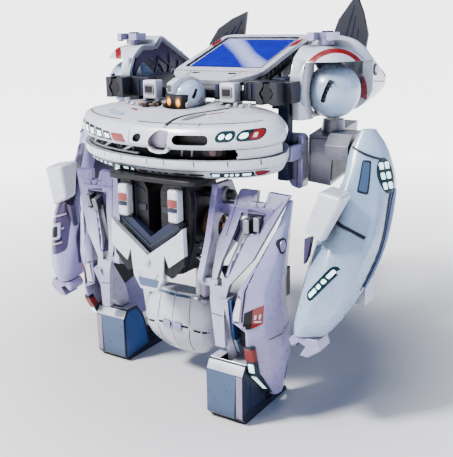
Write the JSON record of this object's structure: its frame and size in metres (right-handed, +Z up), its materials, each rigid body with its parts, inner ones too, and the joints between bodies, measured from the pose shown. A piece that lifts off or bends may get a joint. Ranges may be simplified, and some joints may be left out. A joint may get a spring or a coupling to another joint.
{
  "type": "solar robot kit",
  "caption": "Two-legged snap-together robot with a saucer-shaped chest, rounded shoulder pods, walking legs and a tilting solar cell on its back.",
  "frame": {"origin": "on the ground under the middle of the overall box", "axes": "+X to the robot's left, +Y to its back, +Z up; the robot faces -Y"},
  "size_m": [0.194, 0.1248, 0.1865],
  "materials": {
    "white_shell": "satin gloss, moulded",
    "lilac_shell": "satin gloss, moulded",
    "navy_frame": "satin, moulded",
    "dark_frame": "satin, moulded",
    "blue_grey": "satin gloss, moulded",
    "silver_grey": "silver-grey paint on plastic",
    "amber_lens": "clear amber, polished",
    "solar_cell": "polished glass over blue silicon",
    "red_trim": "satin, moulded",
    "motor_steel": "plain steel",
    "gear_bronze": "brown-bronze tinted gear plastic"
  },
  "bodies": {
    "torso": {"chest_lower_shell": "white_shell", "chest_core": "navy_frame", "chest_truss": "white_shell", "chest_upper_shell": "white_shell", "left_chest_end": "lilac_shell", "right_chest_end": "lilac_shell", "neck_ring": "dark_frame", "connector_bar": "dark_frame", "left_window_box": "white_shell", "right_window_box": "white_shell", "left_hex_connector": "white_shell", "right_hex_connector": "white_shell", "left_shoulder_column": "navy_frame", "right_shoulder_column": "navy_frame", "left_shoulder_strap": "lilac_shell", "right_shoulder_strap": "lilac_shell", "left_pod_shell": "white_shell", "right_pod_shell": "white_shell", "left_pod_panel": "dark_frame", "right_pod_panel": "dark_frame", "left_pod_claw": "lilac_shell", "right_pod_claw": "lilac_shell", "spine_housing": "navy_frame", "left_waist_tower": "dark_frame", "right_waist_tower": "dark_frame", "left_waist_strap": "white_shell", "right_waist_strap": "white_shell", "crotch_plate": "white_shell", "crotch_trough": "blue_grey", "left_belly_shell": "white_shell", "right_belly_shell": "white_shell", "motor_can": "motor_steel"},
    "head": {"helmet": "blue_grey", "visor": "dark_frame", "eye_lens": "amber_lens"},
    "solar_module": {"module_case": "dark_frame", "module_bezel": "white_shell", "solar_cell": "solar_cell"},
    "switch_knob": {"power_switch": "red_trim"},
    "left_fin": {"left_wing_fin": "dark_frame"},
    "left_arm": {"left_shoulder_ball": "white_shell", "left_upper_arm": "silver_grey"},
    "left_forearm": {"left_forearm_shell": "white_shell", "left_elbow_flap": "white_shell", "left_wrist_claw": "lilac_shell"},
    "left_leg": {"left_leg_frame": "white_shell", "left_leg_shell": "lilac_shell"},
    "left_boot": {"left_foot": "blue_grey"},
    "right_fin": {"right_wing_fin": "dark_frame"},
    "right_arm": {"right_shoulder_ball": "white_shell", "right_upper_arm": "silver_grey"},
    "right_forearm": {"right_forearm_shell": "white_shell", "right_elbow_flap": "white_shell", "right_wrist_claw": "lilac_shell"},
    "right_leg": {"right_leg_frame": "white_shell", "right_leg_shell": "lilac_shell"},
    "right_boot": {"right_foot": "blue_grey"},
    "pinion": {"motor_pinion": "gear_bronze"},
    "gear_pair": {"double_wheel": "gear_bronze"},
    "crank": {"crank_axle": "gear_bronze"}
  },
  "joints": [
    {"name": "head_swivel", "type": "hinge", "parent": "torso", "child": "head", "pos_m": [0, -0.02285, 0.133], "axis": [0, 0, 1], "range_deg": [-40, 84]},
    {"name": "module_tilt", "type": "hinge", "parent": "torso", "child": "solar_module", "pos_m": [0, 0.00505, 0.1429], "axis": [1, 0, 0], "range_deg": [-18, 20]},
    {"name": "left_fin_lean", "type": "hinge", "parent": "torso", "child": "left_fin", "pos_m": [0.042, 0.06125, 0.1465], "axis": [0, 1, 0], "range_deg": [-46, 10]},
    {"name": "left_shoulder", "type": "hinge", "parent": "torso", "child": "left_arm", "pos_m": [0.0605, 0.00865, 0.142], "axis": [1, 0, 0], "range_deg": [-28, 10]},
    {"name": "left_elbow", "type": "hinge", "parent": "left_arm", "child": "left_forearm", "pos_m": [0.074, -0.00235, 0.118], "axis": [1, 0, 0], "range_deg": [-30, 6]},
    {"name": "right_fin_lean", "type": "hinge", "parent": "torso", "child": "right_fin", "pos_m": [-0.042, 0.06125, 0.1465], "axis": [0, 1, 0], "range_deg": [-46, 10]},
    {"name": "right_shoulder", "type": "hinge", "parent": "torso", "child": "right_arm", "pos_m": [-0.0605, 0.00865, 0.142], "axis": [1, 0, 0], "range_deg": [-28, 10]},
    {"name": "right_elbow", "type": "hinge", "parent": "right_arm", "child": "right_forearm", "pos_m": [-0.074, -0.00235, 0.118], "axis": [1, 0, 0], "range_deg": [-36, 0]},
    {"name": "left_hip", "type": "hinge", "parent": "torso", "child": "left_leg", "pos_m": [0.029, -0.03835, 0.099], "axis": [1, 0, 0], "range_deg": [-2, 18]},
    {"name": "right_hip", "type": "hinge", "parent": "torso", "child": "right_leg", "pos_m": [-0.029, -0.03835, 0.099], "axis": [1, 0, 0], "range_deg": [-18, 2]},
    {"name": "left_ankle", "type": "hinge", "parent": "left_leg", "child": "left_boot", "pos_m": [0.043, -0.05001, 0.016], "axis": [1, 0, 0], "range_deg": [-18, 2]},
    {"name": "right_ankle", "type": "hinge", "parent": "right_leg", "child": "right_boot", "pos_m": [-0.043, -0.02669, 0.016], "axis": [1, 0, 0], "range_deg": [-2, 18]},
    {"name": "crank_shaft", "type": "hinge", "parent": "torso", "child": "crank", "pos_m": [0, -0.03635, 0.084], "axis": [1, 0, 0], "continuous": true},
    {"name": "gear_pair_shaft", "type": "hinge", "parent": "torso", "child": "gear_pair", "pos_m": [0, -0.03635, 0.0945], "axis": [1, 0, 0], "continuous": true},
    {"name": "motor_shaft", "type": "hinge", "parent": "torso", "child": "pinion", "pos_m": [0, -0.04414, 0.09], "axis": [1, 0, 0], "continuous": true},
    {"name": "switch_slide", "type": "slide", "parent": "torso", "child": "switch_knob", "axis": [0, 0, 1], "range_m": [0, 0.005]}
  ],
  "couplings": [
    {"joint": "right_hip", "follows": "left_hip", "ratio": -1},
    {"joint": "left_ankle", "follows": "left_hip", "ratio": -1},
    {"joint": "right_ankle", "follows": "left_hip", "ratio": 1},
    {"joint": "crank_shaft", "follows": "gear_pair_shaft", "ratio": -0.3125},
    {"joint": "motor_shaft", "follows": "gear_pair_shaft", "ratio": -3.5}
  ]
}
